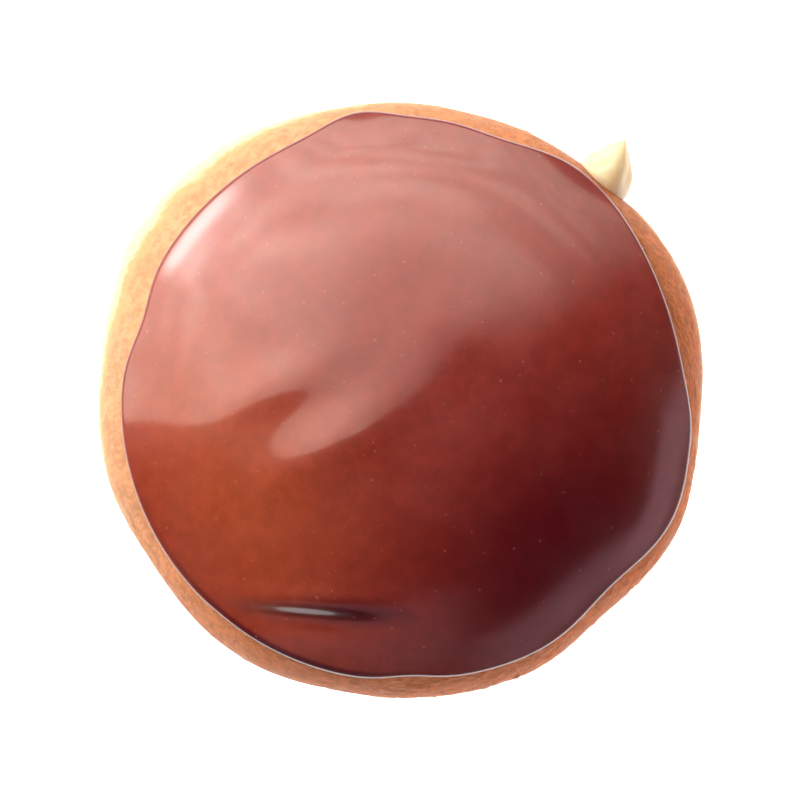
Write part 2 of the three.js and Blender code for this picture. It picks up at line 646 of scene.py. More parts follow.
@dataclass(frozen=True)
class Finish:
    """A surface finish. Each kind of finish says how its colour and roughness are made."""

    name: str
    roughness: float
    coat: float
    coat_roughness: float
    depth: Colour
    depth_share: float
    grain: Grain
    specular: float = 0.5

    def material(self) -> bpy.types.Material:
        """Builds the finish's material.

        Returns:
            The material.
        """
        made = bpy.data.materials.new(self.name)
        net = Surface(emptied(made).tree)
        inputs = {
            "Base Color": self.colour(net),
            "Roughness": self.gloss(net),
            "Specular IOR Level": self.specular,
            "Coat Weight": self.coat,
            "Coat Roughness": self.coat_roughness,
            "Subsurface Weight": self.depth_share,
            "Subsurface Radius": self.depth,
            "Subsurface Scale": MM,
            "Normal": net.relief(self.grain),
        }
        shader = net.add("ShaderNodeBsdfPrincipled", inputs)
        output = net.add("ShaderNodeOutputMaterial", {"Surface": shader.outputs[0]})
        output.is_active_output = True
        return made

    def gloss(self, net: Surface) -> Socket | float:
        """Returns the roughness: a number, or a socket where it changes over the surface."""
        return self.roughness

    def colour(self, net: Surface) -> Socket:
        """Returns the colour's socket."""
        raise NotImplementedError


@dataclass(frozen=True)
class FriedCrust(Finish):
    """Golden-brown fried dough, with a pale band where it floated half out of the oil."""

    name: str = "fried_crust"
    roughness: float = 0.55
    coat: float = 0.05
    coat_roughness: float = 0.3
    specular: float = 0.15
    depth: Colour = (1.6, 0.7, 0.3)
    depth_share: float = 0.12
    grain: Grain = Grain(0.7, 0.7, 0.16)
    golden: Colour = (0.76, 0.27, 0.10)
    deep: Colour = (0.54, 0.20, 0.08)
    toasted: Colour = (0.38, 0.09, 0.03)
    band: Colour = (0.88, 0.70, 0.42)
    blond: Colour = (0.80, 0.42, 0.18)
    # Painted shade: the redder colour of the side away from the light.
    painted_shade_amber: Colour = (0.74, 0.19, 0.05)
    # Painted light: the paler colour of the side towards the light.
    painted_light_straw: Colour = (0.82, 0.48, 0.26)
    broad: Patches = Patches(9.0, 2.6, 3.0)
    fine: Patches = Patches(1.3, 2.4, 7.0)
    wander: Patches = Patches(4.5, 2.2, 11.0)
    oil: Patches = Patches(3.2, 2.0, 23.0)
    blisters: Specks = Specks(1.9, 0.42, 0.42, 0.45)
    nicks: Specks = Specks(3.1, 0.34, 0.16, 0.5)

    def colour(self, net: Surface) -> Socket:
        """Builds the crust's colour: mottled gold, specks, the pale band, the hole's browned rim, and
        painted shade and painted light on the sides away from and towards the light.

        Args:
            net: The material's network.

        Returns:
            The colour's socket.
        """
        fine = net.patches(self.fine)
        belly = net.marked("below_waist")
        mottled = net.math("MULTIPLY_ADD", net.patches(self.broad), 0.55, net.times(fine, 0.3))
        crust = net.mix(net.math("MULTIPLY_ADD", belly, 0.45, mottled), self.golden, self.deep)
        # Painted shade reddens the side away from the light, less so below the waist, and painted light
        # pales the side towards it.
        painted_shade_side = net.times(net.marked("painted_shade_side"), net.between(belly, 0.0, 1.0, 0.8, 0.2))
        crust = net.mix(painted_shade_side, crust, self.painted_shade_amber)
        crust = net.mix(net.times(net.marked("painted_light_side"), 0.6), crust, self.painted_light_straw)
        crust = net.scaled(crust, net.between(fine, 0.0, 1.0, 0.84, 1.12))
        crust = net.mix(net.specks(self.blisters), crust, self.blond)
        crust = net.mix(net.specks(self.nicks), crust, self.toasted)
        # The band's edges wander, and its colour runs through blond into the crust's gold.
        fray = net.math("MULTIPLY_ADD", fine, 0.25, net.times(net.patches(self.wander), 0.45))
        level = net.math("ADD", net.marked("band"), net.math("SUBTRACT", fray, 0.4))
        crust = net.mix(net.between(level, -0.75, 0.15), crust, self.blond)
        crust = net.mix(net.between(level, -0.05, 0.65), crust, self.band)
        rim = net.between(net.marked("from_hole"), 6.4, 4.0)
        return net.mix(net.times(rim, 0.75), crust, self.toasted)

    def gloss(self, net: Surface) -> Socket:
        """Returns the roughness, which is oilier in patches."""
        return net.between(net.patches(self.oil), 0.0, 1.0, self.roughness - 0.08, self.roughness + 0.1)


@dataclass(frozen=True)
class PouredIcing(Finish):
    """Set chocolate icing: glossy and reddish brown, with painted shade where it is darker and painted
    light where it is warmer.
    """

    name: str = "poured_icing"
    roughness: float = 0.34
    coat: float = 1.0
    coat_roughness: float = 0.1
    depth: Colour = (1.5, 0.35, 0.15)
    depth_share: float = 0.0
    grain: Grain = Grain(1.1, 0.3, 0.012)
    chocolate: Colour = (0.25, 0.018, 0.012)
    lighter: Colour = (0.28, 0.025, 0.015)
    # Painted shade: the dark maroon of the patch away from the light, the crease and the line inside the
    # edge.
    painted_shade: Colour = (0.095, 0.001, 0.006)
    # Painted light: the warmer colour of the patch towards the light.
    painted_light: Colour = (0.42, 0.07, 0.022)
    speck: Colour = (0.55, 0.22, 0.15)
    clouds: Patches = Patches(14.0, 2.4, 1.0)
    fine: Patches = Patches(2.2, 2.6, 5.0)
    grit: Patches = Patches(0.6, 2.4, 17.0)
    dull: Patches = Patches(7.0, 1.8, 29.0)
    specks: Specks = Specks(1.4, 0.18, 0.55, 0.3)

    def colour(self, net: Surface) -> Socket:
        """Builds the icing's colour: soft clouds, a warmer patch of painted light, darker patches of
        painted shade, and tiny pale specks.

        Args:
            net: The material's network.

        Returns:
            The colour's socket.
        """
        fine = net.patches(self.fine)
        share = net.math("MULTIPLY_ADD", net.patches(self.clouds), 0.5, net.times(fine, 0.25))
        icing = net.mix(share, self.chocolate, self.lighter)
        # Painted light: a warmer patch on the lit side.
        icing = net.mix(net.marked("painted_light"), icing, self.painted_light)
        # Painted shade: darker away from the light, in the crease beside the fold and along the edge.
        icing = net.mix(net.marked("painted_shade"), icing, self.painted_shade)
        gritty = net.between(net.patches(self.grit), 0.0, 1.0, 0.96, 1.04)
        icing = net.scaled(icing, net.times(net.between(fine, 0.0, 1.0, 0.93, 1.06), gritty))
        return net.mix(net.specks(self.specks), icing, self.speck)

    def gloss(self, net: Surface) -> Socket:
        """Returns the roughness of a set skin that is duller in clouds."""
        return net.between(net.patches(self.dull), 0.0, 1.0, self.roughness - 0.05, self.roughness + 0.05)


@dataclass(frozen=True)
class ThickCustard(Finish):
    """Thick pale yellow custard with a soft wet gloss."""

    name: str = "thick_custard"
    roughness: float = 0.38
    coat: float = 0.3
    coat_roughness: float = 0.15
    depth: Colour = (3.2, 2.8, 1.7)
    depth_share: float = 0.8
    grain: Grain = Grain(0.8, 0.2, 0.05)
    cream: Colour = (0.84, 0.69, 0.49)
    yolk: Colour = (0.88, 0.66, 0.22)
    streaks: Patches = Patches(2.6, 2.2, 13.0)
    specks: Specks = Specks(1.1, 0.1, 0.2, 0.3)

    def colour(self, net: Surface) -> Socket:
        """Returns the custard's colour, which is pale with yolkier streaks."""
        custard = net.mix(net.times(net.patches(self.streaks), 0.6), self.cream, self.yolk)
        return net.mix(net.specks(self.specks), custard, self.yolk)


# Pieces


@dataclass
class CustardFilling:
    """The custard: a flattened pocket in the bun, a neck to the hole, and a pulled peak outside."""

    form: BunForm
    finish: ThickCustard = field(default_factory=ThickCustard)
    at: float = 47.0
    pocket_radius: float = 21.0
    pocket_flatness: float = 0.45
    neck_radius: float = 3.6
    mouth: float = 40.5
    tip: float = 49.5
    lift: float = 1.4
    around: int = 96
    cutter_around: int = 48
    pocket_steps: int = 34
    neck_steps: int = 16
    peak_steps: int = 64
    # The peak's section is drawn up into a ridge, leans to one side and has shallow folds.
    ridge_height: float = 0.16
    lean: float = 0.05
    fold: float = 0.025
    # The peak outside the hole, from the mouth to the tip: how far along the neck's line, how far it
    # reaches to its left and to its right (seen from above, looking outwards), and half its height.
    peak: tuple[tuple[float, float, float, float], ...] = (
        (40.5, 3.6, -3.6, 3.6),
        (42.0, 4.2, -3.8, 4.0),
        (43.4, 4.35, -3.8, 4.1),
        (45.0, 3.85, -3.35, 3.6),
        (46.6, 3.3, -2.2, 2.8),
        (48.0, 2.75, -0.6, 1.75),
        (49.0, 2.4, 0.9, 0.8),
        (49.5, 2.15, 1.7, 0.24),
    )

    def along(self) -> Array:
        """Returns the direction in which the neck runs out of the bun."""
        return direction(self.at)

    def across(self) -> Array:
        """Returns the level direction to the left of the neck's."""
        ahead = self.along()
        return np.array([-ahead[1], ahead[0], 0.0])

    def stations(self) -> Array:
        """Works out the custard's cross-sections, from the pocket's far end to the tip.

        Returns:
            One row for each: along the neck, left reach, right reach, half height, lift, ridge.
        """
        pocket_end = math.pi - math.asin(self.neck_radius / self.pocket_radius)
        turn = np.linspace(0.06, pocket_end, self.pocket_steps)
        reach = self.pocket_radius * np.sin(turn)
        level = -self.pocket_radius * np.cos(turn)
        roundness = smooth_step(level, 0.8 * self.pocket_radius, 1.2 * self.pocket_radius)
        height = reach * (self.pocket_flatness + (1 - self.pocket_flatness) * roundness)
        none = np.zeros_like(level)
        pocket = np.stack([level, reach, -reach, height, none, none], axis=-1)
        neck = np.zeros((self.neck_steps - 2, 6))
        neck[:, 0] = np.linspace(level[-1], self.mouth, self.neck_steps)[1:-1]
        neck[:, 1:4] = np.array([1, -1, 1]) * self.neck_radius
        given = np.array(self.peak)
        steps = np.linspace(0.0, len(given) - 1.0, self.peak_steps)
        rows = np.stack([smooth_through(column, steps) for column in given.T], axis=-1)
        pulled = np.clip((rows[:, 0] - self.mouth) / (self.tip - self.mouth), 0.0, 1.0)[:, None]
        outside = np.concatenate([rows, self.lift * pulled**2, smooth_step(pulled, 0.1, 0.6)], axis=-1)
        return np.concatenate([pocket, neck, outside])

    def placed(self, level: Array, sideways: Array, upwards: Array) -> Array:
        """Carries points from the neck's own line to the bun.

        Args:
            level: Distances along the neck's line.
            sideways: Distances to its left.
            upwards: Heights from the waist.

        Returns:
            Points in millimetres, with a last axis of three.
        """
        heights = (self.form.waist + upwards)[..., None] * UP
        return level[..., None] * self.along() + sideways[..., None] * self.across() + heights

    def build(self) -> Object:
        """Makes the custard's mesh.

        Returns:
            The custard.
        """
        turn = all_round(self.around)
        level, left, right, height, lift, ridge = (column[:, None] for column in self.stations().T)
        drawn = 1 + self.ridge_height * ridge * np.cos(3 * (turn - math.pi / 2))
        drawn = drawn + self.lean * ridge * np.cos(turn - 2.2)
        folds = self.fold * height * ridge * np.sin(2.1 * level + 1.5 * np.cos(turn))
        sideways = (left + right) / 2 - (left - right) / 2 * drawn * np.cos(turn) + folds * np.cos(turn)
        upwards = lift + height * drawn * np.sin(turn) + folds * np.sin(turn)
        rings = self.placed(level, sideways, upwards)
        # The ends are closed a little way beyond the first and last section.
        low = np.mean(rings[0], axis=0) - 0.02 * self.along()
        high = np.mean(rings[-1], axis=0) + 0.08 * self.along()
        made = turned_mesh("custard_peak_and_filling", rings, low, high)
        made.data.materials.append(self.finish.material())
        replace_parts(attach(made, BODY), "custard_filling")
        return made

    def cutter(self, gap: float) -> Object:
        """Makes the solid that hollows the dough out for the custard.

        Args:
            gap: The room left all round the custard.

        Returns:
            The solid, which reaches out past the dough.
        """
        rows = self.stations()
        inside = rows[rows[:, 0] < self.mouth]
        outside = inside[-1:].copy()
        outside[:, 0] = self.tip + 4
        level, left, _, height, _, _ = (column[:, None] for column in np.concatenate([inside, outside]).T)
        turn = all_round(self.cutter_around)
        rings = self.placed(level, -(left + gap) * np.cos(turn), (height + gap) * np.sin(turn))
        low = np.mean(rings[0], axis=0) - gap * self.along()
        return turned_mesh("pocket", rings, low, np.mean(rings[-1], axis=0))


@dataclass
class FriedDough:
    """The bun: fried dough with a pale band at its waist, a wrinkled skin and a hole in its side."""

    form: BunForm
    custard: CustardFilling
    finish: FriedCrust = field(default_factory=FriedCrust)
    around: int = 600
    spacing: float = 0.43
    hidden_spacing: float = 2.6
    curve_steps: int = 900
    base_steps: int = 20
    # The section starts this far from the axis on the base, and ends at this latitude of the crown.
    base_middle: float = 1.2
    top_latitude: float = math.pi / 2 - 0.01
    # The icing covers the crown inside this radius.
    covered_from: float = 37.0
    # Inside this radius and this near the waist, the surface is that of the custard's pocket.
    buried_radius: float = 36.0
    buried_height: float = 12.0
    # Nearer the axis than this, the points are moved in or out by less.
    still_radius: float = 20.0
    plump: float = 0.25
    band_inset: float = 0.2
    band_spread: float = 2.6
    dimple: float = 0.6
    dimple_spread: float = 2.8
    # The angles of the painted shade on the side away from the light and of the painted light on the side
    # towards it.
    painted_shade_at: float = 318.0
    painted_light_at: float = 145.0
    skin_seed: float = 4.0
    crease_angle: float = 50.0
    # The pale band's middle and half width, in millimetres from the waist: it rides highest at 143
    # degrees, where it shows from above.
    band_middle: Outline = Outline(
        -1.6, (Lobe(143, 4.4, 34), Lobe(20, 1.0, 16), Lobe(190, 0.8, 12), Lobe(300, -0.9, 24))
    )
    band_half: Outline = Outline(
        3.0, (Lobe(143, 1.3, 30), Lobe(75, -0.7, 14), Lobe(235, -0.5, 20), Lobe(350, 0.5, 20))
    )

    def covered(self, radius: Array) -> Array:
        """Returns 1 well inside the icing's edge and 0 outside it."""
        return smooth_fall(radius, self.covered_from - 2.0, self.covered_from)

    def profile(self) -> tuple[Array, Array]:
        """Works out the section's points, from near the middle of the base to near the crown's top.

        Returns:
            Distances out from the axis, and heights from the waist.
        """
        flat_edge = math.asin((self.form.waist / self.form.belly_drop) ** (self.form.belly_power / 2))
        belly_x, belly_y = self.form.belly(np.linspace(flat_edge, 0.0, self.curve_steps))
        crown_x, crown_y, _, _ = self.form.crown(np.linspace(0.0, self.top_latitude, self.curve_steps)[1:])
        flat_x = np.linspace(self.base_middle, belly_x[0], self.base_steps)[:-1]
        x = np.concatenate([flat_x, belly_x, crown_x])
        y = np.concatenate([np.full_like(flat_x, -self.form.waist), belly_y, crown_y])
        # The steps are longer under the icing and in the middle of the base.
        hidden = np.maximum(self.covered(x) * (y > 0), smooth_fall(x, 14.0, 17.0) * (y < 0))
        return resampled(x, y, self.spacing + (self.hidden_spacing - self.spacing) * hidden)

    def from_hole(self, points: Array) -> Array:
        """Works out how far points are from the hole's line.

        Args:
            points: Points in millimetres.

        Returns:
            Distances in millimetres, which are FAR on the bun's other side.
        """
        beside = points @ self.custard.across()
        away = np.hypot(beside, self.form.above_waist(points))
        return np.where(points @ self.custard.along() > 0, away, FAR)

    def band_level(self, points: Array) -> Array:
        """Works out where points are in the pale band.

        Args:
            points: Points in millimetres.

        Returns:
            1 in the band's middle, 0 at its edges and less beyond.
        """
        angle = np.arctan2(points[..., 1], points[..., 0])
        off_middle = np.abs(self.form.above_waist(points) - self.band_middle.radius(angle))
        return 1 - off_middle / self.band_half.radius(angle)

    def shaped(self) -> Object:
        """Makes the bun's mesh before its hollow and its relief.

        Returns:
            The bun.
        """
        x, y = self.profile()
        angle = all_round(self.around)
        rings = self.form.uneven(x[:, None], y[:, None], angle)
        # The dough is drawn in a little along the pale band, and pressed in round the hole.
        band_away = self.form.above_waist(rings) - self.band_middle.radius(angle)
        inwards = self.band_inset * bell(band_away, self.band_spread) - self.plump
        inwards = inwards + self.dimple * bell(self.from_hole(rings), self.dimple_spread)
        length = np.hypot(rings[..., 0], rings[..., 1])
        rings[..., :2] *= (1 - inwards / np.maximum(length, self.still_radius))[..., None]
        top = (self.form.waist + self.form.crown_rise) * UP
        return turned_mesh("fried_dough_bun", rings, np.zeros(3), top)

    def hollow(self, bun: Object) -> None:
        """Cuts the custard's pocket and neck out of the bun.

        Args:
            bun: The bun, whose mesh is changed.
        """
        pocket = self.custard.cutter(gap=0.15)
        cut = bun.modifiers.new("pocket", "BOOLEAN")
        cut.operation = "DIFFERENCE"
        cut.solver = "EXACT"
        cut.object = pocket
        baked(bun)
        bpy.data.objects.remove(pocket)

    def relief_tree(self) -> Tree:
        """Builds the Geometry Nodes tree that raises the skin's wrinkles and blisters.

        Returns:
            The tree. It moves each point along its normal by as much as its "skin" number lets it.
        """
        lengths = {
            "Swell Height": 0.35,
            "Swell Size": 13.0,
            "Wrinkle Height": 0.16,
            "Wrinkle Size": 2.4,
            "Blister Height": 0.22,
            "Blister Spacing": 2.3,
        }
        numbers = {name: length * MM for name, length in lengths.items()}
        fed = {"Geometry": "NodeSocketGeometry", "Material": "NodeSocketMaterial"}
        result_type = ("Geometry", "NodeSocketGeometry")
        numbers["Seed"] = self.skin_seed
        net, given, result = new_group("skin_relief", "GeometryNodeTree", fed, numbers, result_type)
        place = net.add("GeometryNodeInputPosition").outputs[0]

        def noise(size: Socket, detail: float) -> Socket:
            """Returns noise of that size about zero."""
            inputs = {"Vector": place, "W": given["Seed"], "Scale": net.math("DIVIDE", 1.0, size)}
            made = net.add("ShaderNodeTexNoise", {**inputs, "Detail": detail}, noise_dimensions="4D")
            return net.math("SUBTRACT", made.outputs[0], 0.5)

        swell = net.times(noise(given["Swell Size"], 1.0), 2.0)
        # Wrinkles are ridged noise: narrow valleys where the noise crosses zero, deeper in places.
        wrinkle = net.between(net.math("ABSOLUTE", noise(given["Wrinkle Size"], 2.0)), 0.0, 0.12, -1.0, 0.0)
        strength = net.between(noise(net.times(given["Swell Size"], 0.7), 0.0), -0.12, 0.1)
        # Blisters are domes of several sizes, each in its own cell, and in some cells only.
        spacing = net.math("DIVIDE", 1.0, given["Blister Spacing"])
        cells = net.add("ShaderNodeTexVoronoi", {"Vector": place, "Scale": spacing})
        picks = net.add("ShaderNodeSeparateXYZ", {0: cells.outputs["Color"]})
        reach = net.math("MULTIPLY_ADD", picks.outputs[1], 0.28, 0.14)
        dome = net.between(net.math("DIVIDE", cells.outputs["Distance"], reach), 1.0, 0.0)
        blister = net.times(dome, net.math("LESS_THAN", picks.outputs[0], 0.4))
        wrinkled = net.times(net.times(wrinkle, strength), given["Wrinkle Height"])
        height = net.math("ADD", net.times(swell, given["Swell Height"]), wrinkled)
        height = net.math("MULTIPLY_ADD", blister, given["Blister Height"], height)
        skin = net.add("GeometryNodeInputNamedAttribute", {"Name": "skin"}, data_type="FLOAT")
        height = net.times(height, skin.outputs["Attribute"])
        offset = net.scaled(net.add("GeometryNodeInputNormal").outputs[0], height)
        moved = net.add("GeometryNodeSetPosition", {"Geometry": given["Geometry"], "Offset": offset})
        joined = net.add("GeometryNodeRealizeInstances", {0: moved.outputs[0]})
        inputs = {"Geometry": joined.outputs[0], "Material": given["Material"]}
        dressed = net.add("GeometryNodeSetMaterial", inputs)
        net.tree.links.new(dressed.outputs[0], result)
        return net.tree

    def skin(self, points: Array) -> Array:
        """Works out how far the skin's relief shows.

        Args:
            points: The hollowed bun's points in millimetres.

        Returns:
            1 on open skin, and 0 on the base, under the icing, round the hole and in the pocket.
        """
        radius, height = np.hypot(points[:, 0], points[:, 1]), points[:, 2]
        covered = self.covered(radius) * (height > self.form.waist)
        near_waist = np.abs(self.form.above_waist(points)) < self.buried_height
        buried = near_waist & (radius < self.buried_radius)
        skin = smooth_step(height, 0.1, 1.6) * (1 - covered) * ~buried
        return skin * smooth_step(self.from_hole(points), 3.7, 5.2)

    def side(self, points: Array, at: float) -> Array:
        """Returns how far over to one side of the bun each point is: 1 about its edge, -1 opposite."""
        return points @ direction(at) / self.form.radius

    def build(self) -> Object:
        """Makes the bun.

        Returns:
            The bun, hollowed, wrinkled and dressed.
        """
        bun = self.shaped()
        self.hollow(bun)
        mark(bun.data, "skin", self.skin(points_of(bun.data)))
        add_tree(bun, self.relief_tree(), {"Seed": self.skin_seed, "Material": self.finish.material()})
        baked(bun)
        points = points_of(bun.data)
        mark(bun.data, "band", self.band_level(points))
        mark(bun.data, "below_waist", smooth_step(-self.form.above_waist(points), 0.0, 9.0))
        # Painted shade on the side away from the light, and painted light on the side towards it.
        mark(bun.data, "painted_shade_side", smooth_step(self.side(points, self.painted_shade_at), -0.4, 0.8))
        mark(bun.data, "painted_light_side", smooth_step(self.side(points, self.painted_light_at), 0.1, 1.0))
        mark(bun.data, "from_hole", self.from_hole(points))
        bun.data.set_sharp_from_angle(angle=math.radians(self.crease_angle))
        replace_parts(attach(bun, BODY), "fried_dough")
        return bun


@dataclass(frozen=True)
class Swell:
    """A soft rise (out above 0) or hollow (out below 0) of the icing, as seen from above."""

    x: float
    y: float
    out: float
    long: float
    wide: float
    turn: float

    def across(self, x: Array, y: Array) -> tuple[Array, Array]:
        """Works out places in the swell's own directions.

        Args:
            x: The places.
            y: The places.

        Returns:
            How far each place is along the swell's line, and to the left of it.
        """
        turn = math.radians(self.turn)
        ahead = (x - self.x) * math.cos(turn) + (y - self.y) * math.sin(turn)
        beside = -(x - self.x) * math.sin(turn) + (y - self.y) * math.cos(turn)
        return ahead, beside

    def height(self, x: Array, y: Array) -> Array:
        """Returns how far the swell lifts the icing at each place."""
        ahead, beside = self.across(x, y)
        return self.out * bell(ahead, self.long) * bell(beside, self.wide)


@dataclass(frozen=True)
class Fold(Swell):
    """A step in the icing: raised to the left of its line and lowered to the right."""

    def height(self, x: Array, y: Array) -> Array:
        """Returns how far the fold lifts the icing at each place."""
        _, beside = self.across(x, y)
        return super().height(x, y) * beside / self.wide


@dataclass
class ChocolateIcing:
    """The icing: one poured coat with a rounded edge, uneven where it ran and set."""

    form: BunForm
    finish: PouredIcing = field(default_factory=PouredIcing)
    outline: Outline = Outline(40.1, ICING_LOBES)
    thickness: float = 1.3
    # The edge is thicker where the icing ran further down the bun: bead times the share of the bun's
    # radius that it passes bead_past by, kept between the least and the most. It thins again inwards,
    # over bead_from, and bead_share says how much of it there is at each angle.
    bead: float = 11.0
    bead_past: float = 0.845
    bead_least: float = 0.015
    bead_most: float = 0.05
    bead_from: float = 6.0
    bead_share: Outline = Outline(1.0, (Lobe(322, -0.65, 24),))
    edge_width: float = 1.5
    overhang: float = 0.2
    bead_overhang: float = 0.7
    # How far the icing reaches into the dough at its edge, and stands off it further in.
    sunk: float = 0.25
    gap: float = 0.05
    around: int = 560
    outer_steps: int = 160
    inner_steps: int = 10
    # The outer face's rings crowd towards the edge and end this near the crown's top.
    crowding: float = 1.5
    top_share: float = 0.012
    swells: tuple[Swell, ...] = (
        # The ridge that runs from low on the left up to the middle, and the shorter one beside it. The
        # trough is what they leave between them.
        Swell(-9.0, -6.2, 0.85, 8, 3.1, 35),
        Swell(-16, 2.4, 0.55, 5.5, 2.6, 25),
        # The rise at the light's right-hand edge.
        Swell(6, 9.0, 0.45, 5, 4, 30),
        # The fold low on the left, where the icing ran over itself.
        Fold(-12.8, -29.4, 1.05, 6.5, 1.5, -5),
    )
    # Painted shade in a patch away from the light and in the crease beside the fold, and painted light in a
    # warmer patch towards the light.
    painted_shade_patch: Swell = Swell(22, -20, 0.95, 20, 10.5, 45)
    painted_crease_shade: Swell = Swell(-6, -30.2, 1.0, 7.5, 1.6, -3)
    painted_light: Swell = Swell(-24, -13, 0.8, 18, 11, 120)
    # The dark line of painted shade inside the edge: its middle, its spread and its width.
    rim_at: float = 247.0
    rim_spread: float = 23.0
    rim_width: float = 1.5

    def share_covered(self, angle: Array) -> Array:
        """Returns the share of the bun's radius that the icing covers at each angle."""
        return self.outline.radius(angle) / self.form.outline.radius(angle)

    def bead_height(self, angle: Array) -> Array:
        """Returns how much thicker the icing is at its edge at each angle."""
        past = self.share_covered(angle) - self.overhang / self.form.radius - self.bead_past
        return self.bead * np.clip(past, self.bead_least, self.bead_most) * self.bead_share.radius(angle)

    def edge_latitude(self, angle: Array) -> Array:
        """Works out where the icing's edge meets the dough.

        Args:
            angle: Angles in radians.

        Returns:
            The crown's latitudes there, in radians.
        """
        overhang = self.overhang + self.bead_overhang * self.bead_height(angle)
        contact = self.share_covered(angle) * (1 - overhang / self.form.radius)
        return np.arccos(contact ** (self.form.crown_power / 2))

    def rim(self, points: Array) -> Array:
        """Works out how much points belong to the dark line of painted shade inside the edge.

        Args:
            points: Points in millimetres.

        Returns:
            1 on the line, falling to 0 off it.
        """
        angle = np.arctan2(points[:, 1], points[:, 0])
        inside = self.outline.radius(angle) - np.hypot(points[:, 0], points[:, 1])
        line = 1 - smooth_step(inside, 0.6, 1.0) * smooth_step(inside, 0, self.rim_width)
        return line * bell(turn_between(angle, self.rim_at), self.rim_spread)

    def laid(self, share: Array, angle: Array, height: Array) -> Array:
        """Lays points over the crown.

        Args:
            share: 0 at the crown's top and 1 at the icing's edge.
            angle: Angles in radians.
            height: How far off the dough.

        Returns:
            Points in millimetres.
        """
        latitude = math.pi / 2 + (self.edge_latitude(angle) - math.pi / 2) * share
        x, y, normal_x, normal_y = self.form.crown(latitude)
        return self.form.uneven(x + normal_x * height, y + normal_y * height, angle)

    def outer(self, angle: Array) -> Array:
        """Works out the icing's outer face, from its edge up to the crown's top.

        Args:
            angle: Angles in radians.

        Returns:
            Rings of points.
        """
        walk = np.linspace(1.0, self.top_share, self.outer_steps)[:, None]
        share = 1 - (1 - walk) ** self.crowding
        bare = self.laid(share, angle, np.zeros_like(share * angle))
        steps = np.linalg.norm(np.diff(bare, axis=0), axis=-1)
        away = np.concatenate([np.zeros((1, angle.shape[1])), np.cumsum(steps, axis=0)])
        lip = np.sqrt(np.clip(1 - (1 - np.clip(away / self.edge_width, 0.0, 1.0)) ** 2, 0.0, 1.0))
        near_edge = np.clip(1 - away / self.bead_from, 0.0, 1.0) ** 2
        thickness = self.thickness + self.bead_height(angle) * near_edge
        for swell in self.swells:
            thickness = thickness + swell.height(bare[..., 0], bare[..., 1])
        return self.laid(share, angle, -self.sunk + (thickness + self.sunk) * lip)

    def under(self, angle: Array) -> Array:
        """Works out the icing's under face, from near the crown's top down to its edge.

        Args:
            angle: Angles in radians.

        Returns:
            Rings of points.
        """
        share = np.linspace(0.06, 0.97, self.inner_steps)[:, None]
        height = self.gap - (self.sunk + self.gap) * smooth_step(share, 0.9, 1.0)
        return self.laid(share, angle, height * np.ones_like(angle))

    def build(self) -> Object:
        """Makes the icing's mesh.

        Returns:
            The icing.
        """
        angle = all_round(self.around)
        under, outer = self.under(angle), self.outer(angle)
        bottom, top = np.mean(under[0, :, 2]) * UP, np.mean(outer[-1, :, 2]) * UP
        made = turned_mesh("chocolate_icing_coat", np.concatenate([under, outer]), bottom, top)
        points = points_of(made.data)
        # Painted shade: a dark patch away from the light, the crease beside the fold and the dark line
        # inside the edge.
        painted_shade = [swell.height(points[:, 0], points[:, 1]) for swell in (self.painted_shade_patch, self.painted_crease_shade)]
        mark(made.data, "painted_shade", np.max([*painted_shade, self.rim(points)], axis=0))
        # Painted light: the warmer patch on the lit side.
        mark(made.data, "painted_light", self.painted_light.height(points[:, 0], points[:, 1]))
        made.data.materials.append(self.finish.material())
        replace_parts(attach(made, BODY), "chocolate_icing")
        return made


# The studio


class Reach(Enum):
    """What a light does: only the matt shading, or only the sheen."""

    MATT = "matt"
    SHEEN = "sheen"

    def limit(self, source: Object) -> None:
        """Hides a light, or a lit piece, from the camera and from what it doesn't do."""
        source.visible_camera = False
        source.visible_diffuse = self is Reach.MATT
        source.visible_glossy = self is Reach.SHEEN


def only_mirrored(made: Object, net: Network, shader: Node, material: bpy.types.Material) -> Object:
    """Finishes a lit piece of the studio that only the gloss mirrors.

    Args:
        made: The piece.
        net: Its material's network.
        shader: The shader that lights it.
        material: Its material.

    Returns:
        The piece.
    """
    net.add("ShaderNodeOutputMaterial", {"Surface": shader.outputs[0]})
    made.data.materials.append(material)
    Reach.SHEEN.limit(made)
    made.visible_shadow = False
    return made


@dataclass(frozen=True)
class Panel:
    """A rectangle that faces the doughnut from a direction and is as bright as its radiance."""

    name: str
    at: float
    elevation: float
    distance: float
    width: float
    height: float
    radiance: float
    colour: Colour

    def away(self) -> Vector:
        """Returns the direction from the doughnut to the panel."""
        return Vector(direction(self.at, self.elevation))


@dataclass(frozen=True)
class Softbox(Panel):
    """A soft light that only the matt shading shows."""

    def build(self) -> Object:
        """Makes the light.

        Returns:
            The light.
        """
        light = bpy.data.lights.new(self.name, "AREA")
        light.shape = "RECTANGLE"
        light.size = self.width
        light.size_y = self.height
        light.energy = self.radiance * math.pi * self.width * self.height
        light.color = self.colour
        made = linked(self.name, light)
        made.location = self.away() * self.distance
        made.rotation_euler = (-self.away()).to_track_quat("-Z", "Y").to_euler()
        Reach.MATT.limit(made)
        return made


